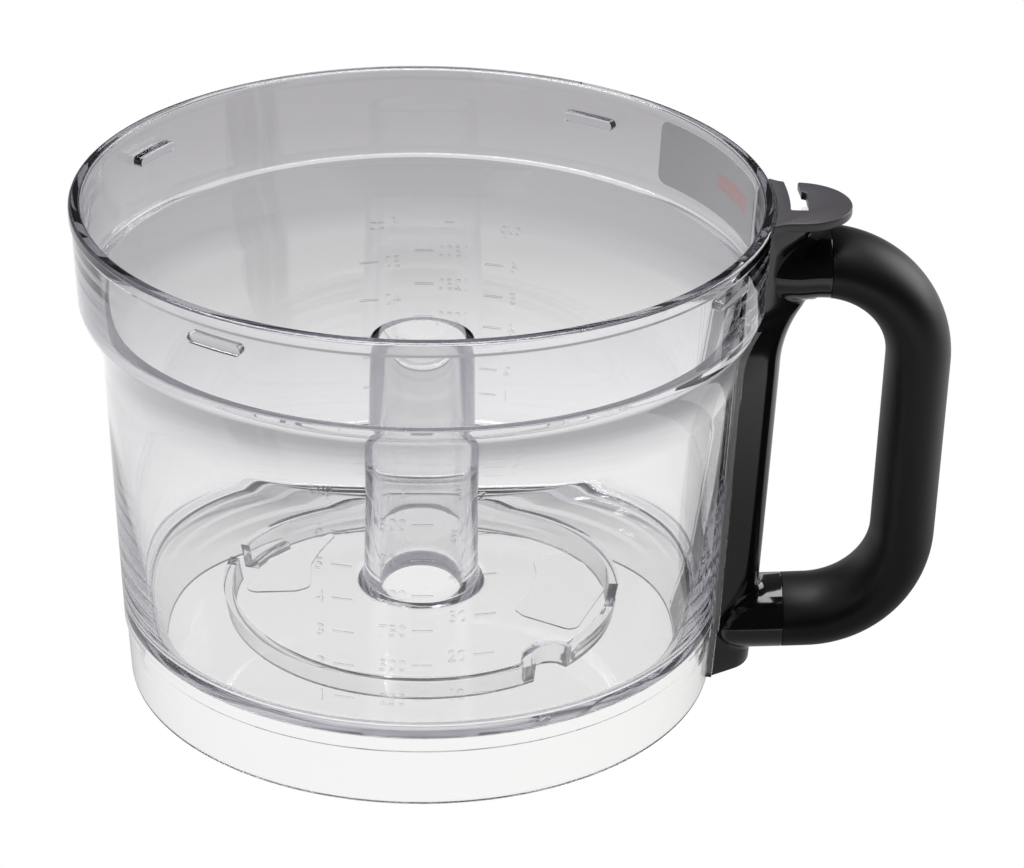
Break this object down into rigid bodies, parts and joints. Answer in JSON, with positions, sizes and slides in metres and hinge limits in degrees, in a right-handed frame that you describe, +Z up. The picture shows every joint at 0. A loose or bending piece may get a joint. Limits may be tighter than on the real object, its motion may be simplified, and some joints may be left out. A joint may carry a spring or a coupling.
{
  "type": "food processor bowl",
  "caption": "Clear round processing bowl with a central drive tube, a D-shaped black handle and a spring-loaded lid interlock inside the handle.",
  "frame": {"origin": "centre of the skirt's resting face, on the bowl's axis", "axes": "+Z up along the bowl's axis, +X from the axis towards the handle"},
  "size_m": [0.25, 0.198, 0.1477],
  "materials": {
    "clear_plastic": "gloss, clear",
    "label_film": "satin",
    "black_gloss": "gloss",
    "grey_satin": "satin",
    "core_plastic": "as moulded",
    "soft_grip": "matt soft touch",
    "screw_steel": "zinc plated",
    "light_plastic": "as moulded",
    "spring_steel": "drawn wire",
    "guide_plastic": "as moulded"
  },
  "bodies": {
    "bowl_assembly": {"bowl": "clear_plastic", "blank_label": "label_film", "handle_spine": "black_gloss", "lock_plate": "grey_satin", "grip_core": "core_plastic", "grip_sleeve": "soft_grip", "handle_screws": "screw_steel", "rod_guide": "guide_plastic"},
    "interlock": {"actuator": "light_plastic", "pushrod": "light_plastic", "spring_clip": "screw_steel", "return_spring": "spring_steel"}
  },
  "joints": [
    {"name": "interlock_slide", "type": "slide", "parent": "bowl_assembly", "child": "interlock", "axis": [0, 0, -1], "range_m": [0, 0.005], "stiffness_N_per_m": 300, "springref_m": -0.006, "deforming": ["return_spring"]}
  ]
}
